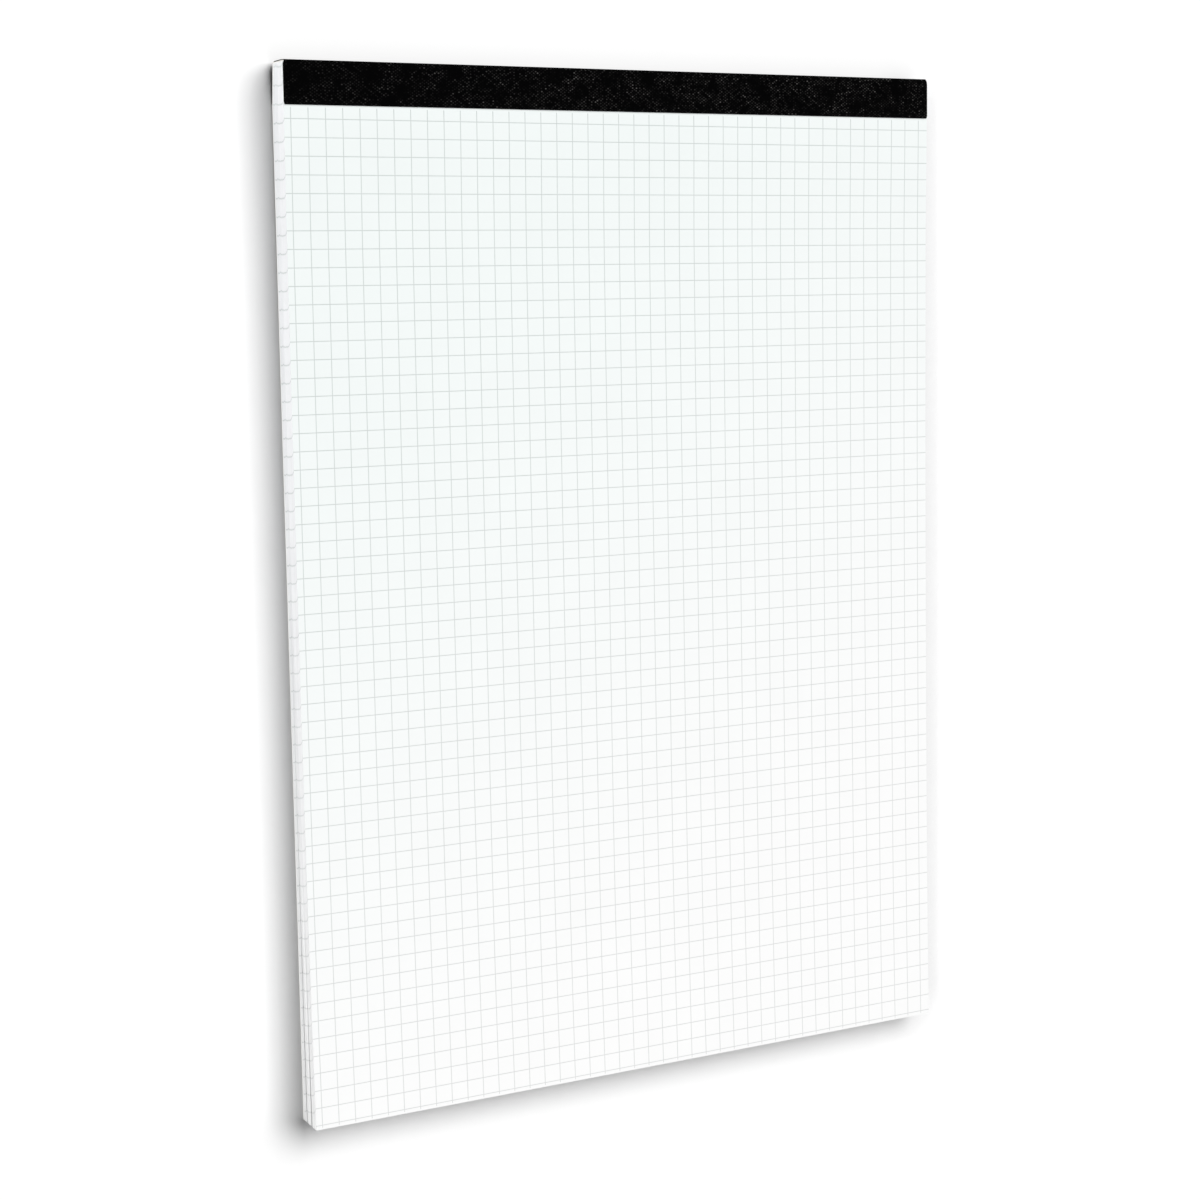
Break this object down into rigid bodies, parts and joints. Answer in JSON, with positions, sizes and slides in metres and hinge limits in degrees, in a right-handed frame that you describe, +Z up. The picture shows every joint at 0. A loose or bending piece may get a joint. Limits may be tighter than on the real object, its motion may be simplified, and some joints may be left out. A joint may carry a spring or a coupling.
{
  "type": "squared writing pad",
  "caption": "A4 pad of squared paper, its leaves glued at the head to a card and bound there with a folded strip of black cloth tape, lying on its back.",
  "frame": {"origin": "centre of the pad's outline, on the surface that it lies on", "axes": "+X across the pad to the reader's right, +Y to the bound head, +Z up out of the top leaf"},
  "size_m": [0.21, 0.297, 0.0104],
  "materials": {
    "paper": "matte",
    "card": "matte",
    "cloth_tape": "matte",
    "padding_compound": "satin"
  },
  "bodies": {
    "root": {"page_block": "paper", "backing_board": "card", "padding_glue": "padding_compound", "binding_tape": "cloth_tape"}
  },
  "joints": []
}
